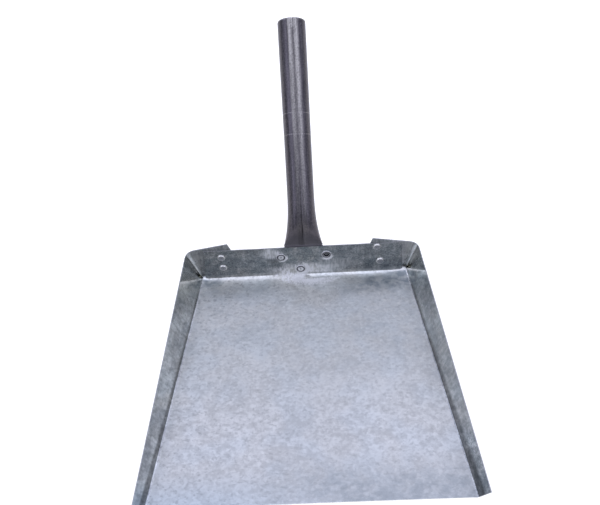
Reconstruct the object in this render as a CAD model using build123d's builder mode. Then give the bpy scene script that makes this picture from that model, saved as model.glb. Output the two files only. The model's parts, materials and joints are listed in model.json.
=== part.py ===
from build123d import *
from math import atan, cos, degrees, pi, radians, sin, sqrt, tan
import os

# Dustpan of folded galvanised sheet, with a handle rolled from sheet steel and held by blind rivets.
# Millimetres. Origin in the middle of the floor's underside, +Y to the back, +Z up.
# Heights on the walls are measured up their slope from the inside of the floor.

# Pan: one folded sheet
sheet = 0.8
floor_length = 218.0
front_width = 260.0
back_width = 202.0
bend_radius = 1.5
side_lean = radians(15.0)
side_height_front = 19.0
side_height_back_left = 38.8
side_height_back_right = 36.8
back_lean = radians(7.5)
back_height = 38.0

# Rear corners: the side walls run round them and end as tabs behind the back wall
corner_radius_floor = 2.0
corner_radius_top = 7.0
tab_length_left = 33.0
tab_length_right = 35.5
tab_rise = radians(10.3)
tab_end_slant = radians(20.0)
tab_floor_gap = 1.6
layer_gap = 0.1
flange_inset = 3.0
flange_taper = radians(5.0)
relief_radius = 1.2

# Handle: one sheet rolled to a tube, opened and flattened at its lower end
tube_diameter = 26.0
tube_wall = 1.0
handle_length = 206.5
handle_tilt = radians(38.5)
handle_offset = 1.8
seam_width = 0.8
seam_mouth = 7.0
seam_opening_length = 48.0
neck_length = 46.0
neck_flare = 2.8
neck_width = 37.0
neck_thickness = 6.0
fold_radius = 2.0
fold_below_rim = 1.0

# Tongue: the flat end of the handle behind the back wall
tongue_width = 60.0
tongue_end_width = 26.0
tongue_bottom = 3.0
tongue_waist = 18.0
tongue_shoulder = 31.0
tongue_corner_radius = 4.0

# Rivets of the handle
handle_rivet_spacing = 44.0
handle_rivet_shift = -0.4
handle_rivet_height_left = 25.4
handle_rivet_height_right = 26.6
lower_rivet_height = 8.3
lower_rivet_shift = -4.2
handle_rivet_shank = 4.8
handle_rivet_head = 9.5
handle_rivet_dome = 1.5
handle_rivet_mandrel = 2.7
handle_rivet_tail = 4.2
handle_rivet_swell = 7.0

# Rivets of the tabs, placed from the tabs' inner ends
tab_rivet_inset_left = 10.3
tab_rivet_inset_right_upper = 6.2
tab_rivet_inset_right_lower = 10.0
tab_rivet_height_left_upper = 28.8
tab_rivet_height_left_lower = 14.8
tab_rivet_height_right_upper = 33.8
tab_rivet_height_right_lower = 14.3
corner_rivet_shank = 4.0
corner_rivet_head = 8.0
corner_rivet_dome = 1.3
corner_rivet_mandrel = 2.2
corner_rivet_tail = 3.6
corner_rivet_swell = 5.8

# Fits and finish of the rivets
hole_clearance = 0.05
mandrel_clearance = 0.03
mandrel_recess = 0.4
mandrel_head_length = 1.4
rivet_rim = 0.3

os.makedirs("parts", exist_ok=True)

# Places worked out from the sizes
left, right = -1, 1
front_y = -floor_length / 2
bend_y = floor_length / 2
side_taper = atan((front_width - back_width) / 2 / floor_length)
side_height_back = {left: side_height_back_left, right: side_height_back_right}
tab_foot = {left: back_width / 2 - tab_length_left, right: back_width / 2 - tab_length_right}
flange_foot = back_width / 2 - flange_inset
flange_head = flange_foot - back_height * tan(flange_taper)
floor_end = bend_y - bend_radius * tan((pi / 2 - back_lean) / 2)

# The back wall's inner face: local x across, local y up the slope, local z into the pan
wall_face = Plane(origin=(0, bend_y, sheet), x_dir=(1, 0, 0), z_dir=(0, -cos(back_lean), sin(back_lean)))
wall_rim = wall_face.from_local_coords((0, back_height, 0))

# Fold of the handle's sheet at the rim, and the tube's frame: local y to its back, local z up its axis
fold_start = wall_face.from_local_coords((0, back_height - fold_below_rim, -sheet))
fold_angle = pi / 2 - back_lean - handle_tilt
tube_front = Vector(0, -sin(handle_tilt), cos(handle_tilt))
fold_end = fold_start + (tube_front - wall_face.z_dir) * (fold_radius + tube_wall)
tube_foot = fold_end + tube_front * (tube_diameter / 2 - tube_wall) + Vector(handle_offset, 0, 0)
tube_frame = Plane(origin=tube_foot, x_dir=(1, 0, 0), z_dir=(0, cos(handle_tilt), sin(handle_tilt)))

# Each rivet's place on the back wall
handle_rivets = {
    "left": (handle_offset + handle_rivet_shift - handle_rivet_spacing / 2, handle_rivet_height_left),
    "right": (handle_offset + handle_rivet_shift + handle_rivet_spacing / 2, handle_rivet_height_right),
    "lower": (handle_offset + lower_rivet_shift, lower_rivet_height),
}
corner_rivets = {
    "left_upper": (-tab_foot[left] - tab_rivet_inset_left, tab_rivet_height_left_upper),
    "left_lower": (-tab_foot[left] - tab_rivet_inset_left, tab_rivet_height_left_lower),
    "right_upper": (tab_foot[right] + tab_rivet_inset_right_upper, tab_rivet_height_right_upper),
    "right_lower": (tab_foot[right] + tab_rivet_inset_right_lower, tab_rivet_height_right_lower),
}
handle_hole = handle_rivet_shank / 2 + hole_clearance
corner_hole = corner_rivet_shank / 2 + hole_clearance


def half_width(y, rise):
    """Inside half width of the pan at a place along it and a rise above its floor."""
    floor_half = (front_width + back_width) / 4 - y * tan(side_taper)
    return floor_half + rise * tan(side_lean) / cos(side_taper)


# Top edges: straight along the sides, then rising along the tabs
front_rim = sheet + side_height_front * cos(side_lean)
rear_rim = {side: sheet + side_height_back[side] * cos(side_lean) for side in (left, right)}
corner_x = {side: half_width(bend_y, rear_rim[side] - sheet) for side in (left, right)}
# The flat blank's straight front edge leans forward on the folded sides by this much per height
front_lean = sin(side_taper) * (1 - sin(side_lean)) / cos(side_lean)


def side_rim(side, y):
    return front_rim + (rear_rim[side] - front_rim) * (y - front_y) / floor_length


def tab_rim(side, x):
    return rear_rim[side] + (corner_x[side] - x) * tan(tab_rise)


def tab_end(side, z):
    return side * (tab_foot[side] + (z - wall_rim.Z) * tan(tab_end_slant)), z


tray_top = max(tab_rim(left, 0), tab_rim(right, 0))


def tray_outline(z, layer):
    """Corners of the walls at a height, on their inner side (layer 0) or their outer side (layer sheet)."""
    rise = z - sheet
    rear_y = bend_y + rise * tan(back_lean) + (sheet + layer_gap + layer) / cos(back_lean)
    fore_y = front_y - side_height_front
    thickness = layer / cos(side_lean) / cos(side_taper)
    fore_x = half_width(fore_y, rise) + thickness
    rear_x = half_width(rear_y, rise) + thickness
    return [(-fore_x, fore_y), (fore_x, fore_y), (rear_x, rear_y), (-rear_x, rear_y)]


def corner_radius(z, layer):
    """The rear corners widen evenly from the floor to the rim."""
    growth = (corner_radius_top - corner_radius_floor) / (wall_rim.Z - sheet)
    return corner_radius_floor + growth * (z - sheet) + layer


def tray_solid(base_z, layer, bend):
    """Solid tray from a base height up, its lower edges rounded by the bend."""
    with BuildPart() as tray:
        for z in (base_z, tray_top):
            with BuildSketch(Plane.XY.offset(z)) as outline:
                with BuildLine():
                    Polyline(*tray_outline(z, layer), close=True)
                make_face()
                fillet(outline.vertices().group_by(Axis.Y)[-1], corner_radius(z, layer))
        loft(ruled=True)
        base_edges = tray.faces().sort_by(Axis.Z)[0].edges()
        fillet(base_edges.sort_by(Axis.Y)[1:], bend)
    return tray.part


# Back wall: bent up from the floor, its free side edges clear of the corners
with BuildPart() as back_wall:
    with BuildSketch(Plane.YZ):
        with BuildLine():
            FilletPolyline((0, sheet), (bend_y, sheet), (wall_rim.Y, wall_rim.Z), radius=bend_radius)
            offset(amount=sheet, side=Side.RIGHT)
        make_face()
    extrude(amount=flange_foot, both=True)
    with BuildSketch(wall_face):
        with BuildLine():
            Polyline((-flange_foot, -floor_length), (flange_foot, -floor_length), (flange_foot, 0),
                     (flange_head, back_height), (-flange_head, back_height), (-flange_foot, 0), close=True)
        make_face()
    extrude(amount=floor_length, both=True, mode=Mode.INTERSECT)

# Pan: floor, side walls and tabs cut from a tray, then the back wall added in front of the tabs
with BuildPart() as pan:
    add(tray_solid(0, sheet, bend_radius + sheet))
    add(tray_solid(sheet, 0, bend_radius), mode=Mode.SUBTRACT)

    # Notch behind the floor, under the tabs
    with BuildSketch(Plane.XY.offset(-sheet)):
        with BuildLine():
            Polyline((-front_width, bend_y), (-flange_foot, bend_y), (-flange_foot, floor_end),
                     (flange_foot, floor_end), (flange_foot, bend_y), (front_width, bend_y),
                     (front_width, floor_length), (-front_width, floor_length), close=True)
        make_face()
    extrude(amount=2 * sheet + tab_floor_gap, mode=Mode.SUBTRACT)

    # Opening between the two tabs
    with BuildSketch(Plane.XZ.offset(-bend_y)):
        with BuildLine():
            Polyline(tab_end(left, sheet), tab_end(right, sheet),
                     tab_end(right, 2 * tray_top), tab_end(left, 2 * tray_top), close=True)
        make_face()
    extrude(amount=-floor_length, mode=Mode.SUBTRACT)

    for side in (left, right):
        # Straight top edge of the side wall
        with BuildSketch(Plane.YZ):
            with BuildLine():
                Polyline((-floor_length, side_rim(side, -floor_length)), (bend_y, rear_rim[side]),
                         (bend_y, 2 * tray_top), (-floor_length, 2 * tray_top), close=True)
            make_face()
        extrude(amount=side * front_width, mode=Mode.SUBTRACT)
        # Rising top edge of the tab
        with BuildSketch(Plane.XZ.offset(-bend_y)):
            with BuildLine():
                Polyline((side * front_width, tab_rim(side, front_width)), (0, tab_rim(side, 0)),
                         (0, 2 * tray_top), (side * front_width, 2 * tray_top), close=True)
            make_face()
        extrude(amount=-floor_length, mode=Mode.SUBTRACT)

    # Front edge
    with BuildSketch(Plane.YZ):
        with BuildLine():
            Polyline((front_y + sheet * front_lean, -sheet), (front_y - tray_top * front_lean, tray_top),
                     (-floor_length, tray_top), (-floor_length, -sheet), close=True)
        make_face()
    extrude(amount=front_width, both=True, mode=Mode.SUBTRACT)

    add(back_wall.part)

    # Round reliefs where the folds meet at the rear corners
    with BuildSketch(Plane.XY.offset(-sheet)):
        with Locations((-flange_foot - relief_radius / 2, floor_end), (flange_foot + relief_radius / 2, floor_end)):
            Circle(relief_radius)
    extrude(amount=2 * sheet + tab_floor_gap, mode=Mode.SUBTRACT)

    # Rivet holes, through the back wall and the tabs behind it
    with BuildSketch(wall_face):
        with Locations(*handle_rivets.values()):
            Circle(handle_hole)
        with Locations(*corner_rivets.values()):
            Circle(corner_hole)
    extrude(amount=2 * (2 * sheet + layer_gap), both=True, mode=Mode.SUBTRACT)
pan.part.label = "pan"
export_step(pan.part, "parts/pan.step")


def round_section(inset):
    """Round section at the top of the neck, as four arcs that pair with the four sides of the flattened ones."""
    with BuildSketch(tube_frame.offset(neck_length)) as section:
        with BuildLine():
            for start in (45, 135, 225, 315):
                CenterArc((0, 0), tube_diameter / 2 - inset, start, 90)
        make_face()
    return section.sketch


def flat_section(share, inset):
    """Section of the neck at a share of its length, flatter towards the foot, its back in line with the tube's."""
    flatness = (1 - share) ** neck_flare
    width = tube_diameter + (neck_width - tube_diameter) * flatness
    thickness = tube_diameter + (neck_thickness - tube_diameter) * flatness
    middle = (tube_diameter - thickness) / 2
    straight = (width - thickness) / 2
    side = width / 2 - inset
    back = middle + thickness / 2 - inset
    front = middle - thickness / 2 + inset
    with BuildSketch(tube_frame.offset(share * neck_length)) as section:
        with BuildLine():
            Line((straight, back), (-straight, back))
            ThreePointArc((-straight, back), (-side, middle), (-straight, front))
            Line((-straight, front), (straight, front))
            ThreePointArc((straight, front), (side, middle), (straight, back))
        make_face()
    return section.sketch


def neck_sections(inset):
    """Sections of the neck from its foot to the tube, closer together where it flares."""
    return [flat_section(share, inset) for share in (0, 0.09, 0.2, 0.4)] + [round_section(inset)]


# Handle: tube, neck and tongue, all one sheet
with BuildPart() as handle:
    # Neck, from the flattened foot to the round tube
    loft(neck_sections(0), ruled=True)
    # Tube
    with BuildSketch(tube_frame.offset(neck_length)):
        Circle(tube_diameter / 2)
    extrude(amount=handle_length - neck_length)
    # Hollow of both
    loft(neck_sections(tube_wall), ruled=True, mode=Mode.SUBTRACT)
    with BuildSketch(tube_frame.offset(neck_length)):
        Circle(tube_diameter / 2 - tube_wall)
    extrude(amount=handle_length - neck_length, mode=Mode.SUBTRACT)
    # Seam along the upper side, opening towards the foot
    seam_depth = tube_diameter / 2 - neck_thickness / 2
    seam_face = Plane(origin=tube_foot - tube_front * seam_depth, x_dir=(1, 0, 0), z_dir=tube_front)
    with BuildSketch(seam_face):
        with BuildLine():
            Polyline((-seam_mouth / 2, 0), (seam_mouth / 2, 0), (seam_width / 2, seam_opening_length),
                     (seam_width / 2, handle_length), (-seam_width / 2, handle_length),
                     (-seam_width / 2, seam_opening_length), close=True)
        make_face()
    extrude(amount=seam_depth + tube_diameter, mode=Mode.SUBTRACT)

# Tongue: down behind the back wall from the fold at its rim
with BuildPart() as tongue:
    with BuildSketch(Plane.YZ):
        with BuildLine():
            bottom = wall_face.from_local_coords((0, tongue_bottom, -sheet))
            Line((bottom.Y, bottom.Z), (fold_start.Y, fold_start.Z))
            JernArc((fold_start.Y, fold_start.Z), (wall_face.y_dir.Y, wall_face.y_dir.Z),
                    fold_radius + tube_wall, -degrees(fold_angle))
            offset(amount=tube_wall, side=Side.RIGHT)
        make_face()
    extrude(amount=tongue_width, both=True)
    with BuildSketch(wall_face) as shield:
        with BuildLine():
            fold_line = back_height - fold_below_rim
            right_edge = [(tongue_end_width / 2, tongue_bottom), (tongue_width / 2, tongue_waist),
                          (tongue_width / 2, tongue_shoulder), (neck_width / 2, fold_line),
                          (neck_width / 2, back_height + neck_thickness)]
            Polyline(*[(handle_offset + x, y) for x, y in right_edge],
                     *[(handle_offset - x, y) for x, y in reversed(right_edge)], close=True)
        make_face()
        corners = shield.vertices().group_by(Axis.Y)
        fillet(corners[0] + corners[1] + corners[2], tongue_corner_radius)
    extrude(amount=floor_length, both=True, mode=Mode.INTERSECT)
    with BuildSketch(wall_face):
        with Locations(*handle_rivets.values()):
            Circle(handle_hole)
    extrude(amount=2 * (sheet + tube_wall), both=True, mode=Mode.SUBTRACT)

with BuildPart() as handle_sheet:
    add(handle.part)
    add(tongue.part)
handle_sheet.part.label = "handle"
export_step(handle_sheet.part, "parts/handle.step")


def rivet_section(place):
    """Plane through a rivet's axis: local x out from the axis, local y along it into the pan."""
    return Plane(origin=wall_face.from_local_coords((*place, 0)), x_dir=(1, 0, 0), z_dir=-wall_face.y_dir)


def dome_height(radius, head, dome):
    """Height of a rivet's spherical head at a radius from its axis."""
    rise = dome - rivet_rim
    sphere = ((head / 2) ** 2 + rise ** 2) / (2 * rise)
    return dome - sphere + sqrt(sphere ** 2 - radius ** 2)


def make_rivet(kind, name, place, grip, shank, head, dome, mandrel, tail, swell):
    """One set blind rivet through a grip of sheets: its hollow body and the mandrel left inside."""
    section = rivet_section(place)
    axis = Axis(section.origin, section.y_dir)
    bore = mandrel / 2 + mandrel_clearance
    end = -grip - tail
    middle = (head / 2 + bore) / 2
    with BuildPart() as body:
        with BuildSketch(section):
            with BuildLine():
                ThreePointArc((head / 2, rivet_rim), (middle, dome_height(middle, head, dome)),
                              (bore, dome_height(bore, head, dome)))
                Polyline((bore, dome_height(bore, head, dome)), (bore, end), (shank / 2, end))
                ThreePointArc((shank / 2, end), (swell / 2, -grip - tail / 2), (shank / 2 + rivet_rim, -grip))
                Polyline((shank / 2 + rivet_rim, -grip), (shank / 2, -grip), (shank / 2, 0), (head / 2, 0),
                         (head / 2, rivet_rim))
            make_face()
        revolve(axis=axis)
    with BuildPart() as pin:
        with BuildSketch(section):
            with BuildLine():
                top = dome - mandrel_recess
                Polyline((shank / 2, end), (mandrel / 2, end), (mandrel / 2, top), (0, top),
                         (0, end - mandrel_head_length))
                RadiusArc((0, end - mandrel_head_length), (shank / 2, end), -shank / 2)
            make_face()
        revolve(axis=axis)
    body.part.label = f"{kind}_rivet_{name}"
    pin.part.label = f"{kind}_mandrel_{name}"
    for piece in (body.part, pin.part):
        export_step(piece, f"parts/{piece.label}.step")


for name, place in handle_rivets.items():
    make_rivet("handle", name, place, sheet + tube_wall, handle_rivet_shank, handle_rivet_head,
               handle_rivet_dome, handle_rivet_mandrel, handle_rivet_tail, handle_rivet_swell)
for name, place in corner_rivets.items():
    make_rivet("corner", name, place, 2 * sheet + layer_gap, corner_rivet_shank, corner_rivet_head,
               corner_rivet_dome, corner_rivet_mandrel, corner_rivet_tail, corner_rivet_swell)
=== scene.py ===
import json
from math import asin, atan, atan2, cos, exp, hypot, pi, radians, sin, sqrt, tan

import bmesh
import bpy
import numpy as np
from mathutils import Matrix, Vector, noise


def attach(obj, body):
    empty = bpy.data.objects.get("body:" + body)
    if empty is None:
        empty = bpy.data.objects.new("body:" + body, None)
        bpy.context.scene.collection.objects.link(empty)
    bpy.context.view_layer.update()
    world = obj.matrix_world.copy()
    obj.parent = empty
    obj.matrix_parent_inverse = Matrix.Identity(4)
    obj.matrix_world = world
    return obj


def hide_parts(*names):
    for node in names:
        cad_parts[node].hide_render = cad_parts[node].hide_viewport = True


# A dustpan of folded galvanised sheet with a rolled steel handle, on a white studio floor.
# Sizes are written in millimetres, and points become metres where a mesh is made.
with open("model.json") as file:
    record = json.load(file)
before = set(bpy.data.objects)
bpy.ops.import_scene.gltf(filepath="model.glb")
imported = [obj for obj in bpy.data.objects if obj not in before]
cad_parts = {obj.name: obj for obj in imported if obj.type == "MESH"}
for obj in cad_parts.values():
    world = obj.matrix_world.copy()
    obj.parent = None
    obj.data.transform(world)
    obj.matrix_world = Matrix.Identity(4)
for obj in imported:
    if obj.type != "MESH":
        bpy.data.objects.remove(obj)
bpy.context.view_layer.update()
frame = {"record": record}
mm = 0.001


# Pan
# One galvanised steel sheet, sheared to a blank and folded up on three sides. The side walls are
# rolled round the rear corners and end as tabs, which lie behind the back wall and are riveted to it.
left, right = -1, 1
sheet = 0.8
floor_length = 218.0
front_width = 260.0
back_width = 202.0
bend_radius = 1.5
back_fold_radius = 0.4
fold_tilt = radians(20.0)
fold_ahead = 0.85
fold_blend = 10.0
flare_from_rivet = (4.6, 7.1)
side_lean = radians(15.0)
side_height_front = 19.0
side_height_back = {left: 38.8, right: 36.8}
back_lean = radians(7.5)
back_height = 38.0
corner_radius_floor = 2.0
corner_radius_top = 7.0
corner_ease = 1.35
corner_pull = 0.72
corner_pinch = {left: 1.6, right: 2.6}
corner_pinch_reach = 26.0
corner_pinch_height = 12.0
tab_length = {left: 33.0, right: 35.5}
tab_rise = radians(10.3)
tab_end_slant = radians(20.0)
tab_floor_gap = 1.6
layer_gap = 0.1
flange_inset = 3.0
flange_taper = radians(5.0)
bend_bulge_back = {left: 0.0, right: 0.7}
bend_bulge_front = {left: 1.0, right: 0.0}
bend_bulge_height = 32.0
swell_height = 0.7
swell_unevenness = 0.6
swell_reach = 40.0
swell_waves = (70, 90)
swell_seed = 3.1

front_y = -floor_length / 2
bend_y = floor_length / 2
side_taper = atan((front_width - back_width) / 2 / floor_length)
front_lean = sin(side_taper) * (1 - sin(side_lean)) / cos(side_lean)
flange_foot = back_width / 2 - flange_inset
side_bend_angle = pi / 2 - side_lean
side_bend_run = bend_radius * tan(side_bend_angle / 2)
wall_up = np.array([0, sin(back_lean), cos(back_lean)])
wall_in = np.array([0, -cos(back_lean), sin(back_lean)])
wall_foot = np.array([0, bend_y, sheet])
wall_rim_z = sheet + back_height * cos(back_lean)
front_rim = sheet + side_height_front * cos(side_lean)
rear_rim = {side: sheet + side_height_back[side] * cos(side_lean) for side in (left, right)}

# Rivets' places on the back wall: across, and up its slope from the floor
handle_rivet_places = {"left": (-20.6, 25.4), "right": (23.4, 26.6), "lower": (-2.4, 8.3)}
corner_rivet_places = {
    "left_upper": (-78.3, 28.8),
    "left_lower": (-78.3, 14.8),
    "right_upper": (71.7, 33.8),
    "right_lower": (75.5, 14.3),
}


def ramp(value, start, end):
    """Smooth step from 0 at one value to 1 at another, which may be the smaller one."""
    t = min(max((value - start) / (end - start), 0), 1)
    return t * t * (3 - 2 * t)


def uneven(x, y, seed):
    """Soft unevenness about 0 over a surface, another one for each seed."""
    return noise.noise(Vector((x, y, seed)))


def half_width(y, rise, side):
    """Inside half width of the pan at a place along it and a rise above its floor. The sides bulge at their
    feet."""
    along = (bend_y - y) / floor_length
    bulge = bend_bulge_back[side] + (bend_bulge_front[side] - bend_bulge_back[side]) * along
    bulge *= max(1 - rise / bend_bulge_height, 0) ** 2
    middle = (front_width + back_width) / 4
    return middle - y * tan(side_taper) + rise * tan(side_lean) / cos(side_taper) + bulge


def tab_y(z):
    """Front face of the tabs at a height."""
    return bend_y + (z - sheet) * tan(back_lean) + (sheet + layer_gap) / cos(back_lean)


def wall_path(side, z, station):
    """Point on the inner face of a side wall at a height. The station runs from 0 to 1 along the side,
    to 2 round the corner and to 3 along the tab."""
    rise = z - sheet
    corner = np.array([half_width(tab_y(z), rise, side), tab_y(z)])
    up = rise / (wall_rim_z - sheet)
    radius = corner_radius_floor + (corner_radius_top - corner_radius_floor) * up
    run = radius * tan((pi / 2 - side_taper) / 2) * (1 + (corner_ease - 1) * up)
    bend_from = corner - run * np.array([-sin(side_taper), cos(side_taper)])
    bend_to = corner - np.array([run, 0])
    if station <= 1:
        fore_y = front_y - z * front_lean
        fore = np.array([half_width(fore_y, rise, side), fore_y])
        x, y = fore + (bend_from - fore) * station
    elif station <= 2:
        # Tightest in the middle, easing into the flat sheet on both sides
        t = station - 1
        pull_from = bend_from + (corner - bend_from) * corner_pull
        pull_to = bend_to + (corner - bend_to) * corner_pull
        x, y = ((1 - t) ** 3 * bend_from + 3 * t * (1 - t) ** 2 * pull_from
                + 3 * t ** 2 * (1 - t) * pull_to + t ** 3 * bend_to)
    else:
        tab_end = back_width / 2 - tab_length[side] + (z - wall_rim_z) * tan(tab_end_slant)
        x, y = bend_to[0] + (tab_end - bend_to[0]) * (station - 2), corner[1]
    return np.array([side * x, y, z])


def side_rim(side, station):
    """Height of the sheet's top edge: straight along the side, then rising along the tab. It is found by
    steps, because the place of a station depends on the height."""
    corner_x = half_width(bend_y, rear_rim[side] - sheet, side)
    z = rear_rim[side]
    for _ in range(4):
        x, y = wall_path(side, z, station)[:2]
        along = min((y - front_y) / floor_length, 1)
        z = front_rim + (rear_rim[side] - front_rim) * along
        if y > bend_y:
            z = rear_rim[side] + (corner_x - abs(x)) * tan(tab_rise)
    return z


# The fold at the foot of the back wall was pressed out wider left of the lower rivet, and a little at it
pressed_radius = 6.5
pressed_left_of_rivet = 15.0
pressed_core = 4.0
pressed_end = 14.0
rivet_fold_radius = 1.2
rivet_fold_end = 8.0


def foot_radius(x):
    """Radius of the fold at the foot of the back wall."""
    off_rivet = x - handle_rivet_places["lower"][0]
    pressed = pressed_radius * ramp(abs(off_rivet + pressed_left_of_rivet), pressed_end, pressed_core)
    return back_fold_radius + pressed + rivet_fold_radius * ramp(abs(off_rivet), rivet_fold_end, 0)


# The floor curls up to the back fold in a steep last stretch, with a curl before it that fades out. Each has
# its length in the middle, and what is added at the left, at the right, in the corners and by the rivet.
curl_steep = {"middle": 1.2, "left": 0.3, "right": 0.1, "corner": -0.3}
curl_fade = {"middle": 1.1, "left": 1.5, "right": 0.2, "corner": -0.5, "rivet": 1.3}
curl_left = (0, -45)
curl_right = (10, 50)
curl_corner = (74, 94)
rivet_curl_starts = (-5, 10)
rivet_curl_ends = (50, 22)


def curl_height(ahead, x):
    """Rise of the floor at a distance ahead of the back fold."""
    to_left = ramp(x, *curl_left)
    to_right = ramp(x, *curl_right)
    at_corner = ramp(abs(x), *curl_corner)
    beside_rivet = ramp(x, *rivet_curl_starts) * ramp(x, *rivet_curl_ends)
    steep = (curl_steep["middle"] + curl_steep["left"] * to_left + curl_steep["right"] * to_right
             + curl_steep["corner"] * at_corner)
    fade = (curl_fade["middle"] + curl_fade["left"] * to_left * (1 - at_corner)
            + curl_fade["right"] * to_right + curl_fade["rivet"] * beside_rivet
            + curl_fade["corner"] * at_corner)
    return tan(fold_tilt) * (max(steep - ahead, 0) + fade * exp(-max(ahead - steep, 0) / fade))


def fold_z(x):
    """Height of the floor's upper face where the back fold begins."""
    return sheet + curl_height(0, x)


# The back fold: the angle at which it ends, and how far it runs and rises for each unit of its radius
fold_steep = pi / 2 - back_lean - atan(2 * fold_ahead / fold_blend)
fold_run = sin(fold_steep) - sin(fold_tilt)
fold_rise = cos(fold_tilt) - cos(fold_steep)
floor_end = (bend_y + (fold_z(0) - sheet + back_fold_radius * fold_rise) * tan(back_lean)
             - fold_ahead / cos(back_lean) - back_fold_radius * fold_run)


def fold_begin(radius):
    """Where a fold of this radius begins, so that it ends a little ahead of the face of the back wall."""
    return floor_end - (radius - back_fold_radius) * (fold_run - fold_rise * tan(back_lean))


def floor_height(x, y):
    """Upper face of the floor: it lifts a little between its bends, and curls up to the fold at the back."""
    radius = foot_radius(x)
    into_fold = y - fold_begin(radius)
    if into_fold > 0:
        sine = sin(fold_tilt) + into_fold / radius
        return fold_z(x) + radius * (cos(fold_tilt) - sqrt(1 - sine ** 2))
    inset = min(half_width(y, 0, right if x > 0 else left) - abs(x), floor_end - y)
    wave_x, wave_y = swell_waves
    swell = swell_height + uneven(x / wave_x, y / wave_y, swell_seed) * swell_unevenness
    return sheet + ramp(inset, 0, swell_reach) * max(swell, 0) + curl_height(-into_fold, x)


# Craters round the handle's rivets: radius of the crest, outer radius and height
crater_seat = 4.8
crater_shape = {"left": (5.6, 8.0, 0.25), "right": (6.2, 9.0, 0.3), "lower": (6.4, 9.5, 0.3)}
# The bow of the back wall: its depth, the lengths of its waves, and where it fades out at the foot and sides
wall_bow = 0.25
wall_bow_waves = (35, 28)
wall_bow_seed = 7.7
wall_bow_foot = (0, 12)
wall_bow_sides = (64, 44)


def wall_dent(x, h):
    """How far the back wall stands into the pan: craters round the handle's rivets, and a slight bow."""
    wave_x, wave_h = wall_bow_waves
    depth = wall_bow * uneven(x / wave_x, h / wave_h, wall_bow_seed)
    depth *= ramp(h, *wall_bow_foot)
    depth *= ramp(abs(x), *wall_bow_sides)
    for name, (rivet_x, rivet_h) in handle_rivet_places.items():
        crest, reach, height = crater_shape[name]
        r = hypot(x - rivet_x, h - rivet_h)
        raised = height * ramp(r, crater_seat, crest) * ramp(r, reach, crest)
        depth = depth * ramp(r, crater_seat, crater_seat + reach) + raised
    return depth


def pinched(point):
    """Where three folds meet at a rear corner, the sheet is drawn up a little."""
    x, y, z = point
    off_corner = hypot(abs(x) - back_width / 2, y - bend_y)
    drawn = corner_pinch[right if x > 0 else left] * ramp(z, sheet + corner_pinch_height, sheet)
    return point + np.array([0, 0, drawn * max(1 - off_corner / corner_pinch_reach, 0) ** 3])


def spaced(*stretches):
    """Stations from stretches of (start, end, count), each joined to the next."""
    parts = [np.linspace(start, end, count, endpoint=False) for start, end, count in stretches]
    return np.append(np.concatenate(parts), stretches[-1][1])


def linked_object(name, data):
    """New object in the scene."""
    made = bpy.data.objects.new(name, data)
    bpy.context.scene.collection.objects.link(made)
    return made


def settled(raw, name, sharp):
    """Replaces an object by one with its modifiers applied, shaded smooth except at sharp angles."""
    mesh = bpy.data.meshes.new_from_object(raw.evaluated_get(bpy.context.evaluated_depsgraph_get()))
    mesh.name = name
    bpy.data.objects.remove(raw)
    mesh.shade_smooth()
    mesh.set_sharp_from_angle(angle=sharp)
    return linked_object(name, mesh)


weld_distance = 0.002 * mm
burr_width = 0.12
burr_angle = radians(60)
sheet_sharp = radians(32)


def sheet_mesh(name, grids, mark_name, marks):
    """One mesh from grids of points, joined where their edges meet, with a mark kept on each point."""
    mesh_shape = bmesh.new()
    layer = mesh_shape.verts.layers.float_vector.new(mark_name)
    for grid, grid_marks in zip(grids, marks):
        rows = [[mesh_shape.verts.new(point * mm) for point in row] for row in grid]
        for row, row_marks in zip(rows, grid_marks):
            for vertex, mark in zip(row, row_marks):
                vertex[layer] = mark
        for row, next_row in zip(rows, rows[1:]):
            for a, b, c, d in zip(row, row[1:], next_row[1:], next_row):
                mesh_shape.faces.new((a, b, c, d))
    bmesh.ops.remove_doubles(mesh_shape, verts=mesh_shape.verts, dist=weld_distance)
    mesh = bpy.data.meshes.new(name)
    mesh_shape.to_mesh(mesh)
    mesh_shape.free()
    return mesh


def sheet_object(name, mesh, thickness, materials):
    """Gives a sheet its thickness behind the face that was drawn, and rounds its sheared edges."""
    raw = linked_object(name + "_raw", mesh)
    for material in materials:
        mesh.materials.append(material)
    wall = raw.modifiers.new("thickness", "SOLIDIFY")
    wall.thickness = thickness * mm
    wall.offset = -1
    wall.use_even_offset = True
    wall.material_offset_rim = 1
    burr = raw.modifiers.new("edge", "BEVEL")
    burr.width = burr_width * mm
    burr.segments = 2
    burr.limit_method = "ANGLE"
    burr.angle_limit = burr_angle
    return settled(raw, name, sheet_sharp)


def shader(name):
    """New node material: the material, its nodes and its Principled shader."""
    material = bpy.data.materials.new(name)
    material.use_nodes = True
    tree = material.node_tree
    return material, tree, tree.nodes["Principled BSDF"]


def node(tree, kind, **settings):
    """Adds one node with its settings."""
    made = tree.nodes.new(kind)
    for key, value in settings.items():
        setattr(made, key, value)
    return made


def feed(tree, made, **values):
    """Sets inputs of a node by name, each to a socket or to a plain value. Returns the node."""
    for key, value in values.items():
        socket = made.inputs[key.replace("_", " ").title()]
        if isinstance(value, bpy.types.NodeSocket):
            tree.links.new(value, socket)
        else:
            socket.default_value = value
    return made


def kept_mark(tree, name):
    """A mark that the mesh keeps on each point."""
    return node(tree, "ShaderNodeAttribute", attribute_name=name).outputs["Vector"]


def split(tree, vector):
    """The three parts of a vector."""
    return feed(tree, node(tree, "ShaderNodeSeparateXYZ"), vector=vector).outputs[:3]


def stretched(tree, place, scale, origin=(0, 0, 0)):
    """Coordinates for a pattern that is drawn out by a scale, and shifted."""
    mapping = node(tree, "ShaderNodeMapping", vector_type="TEXTURE")
    return feed(tree, mapping, location=origin, scale=scale, vector=place).outputs["Vector"]


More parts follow.
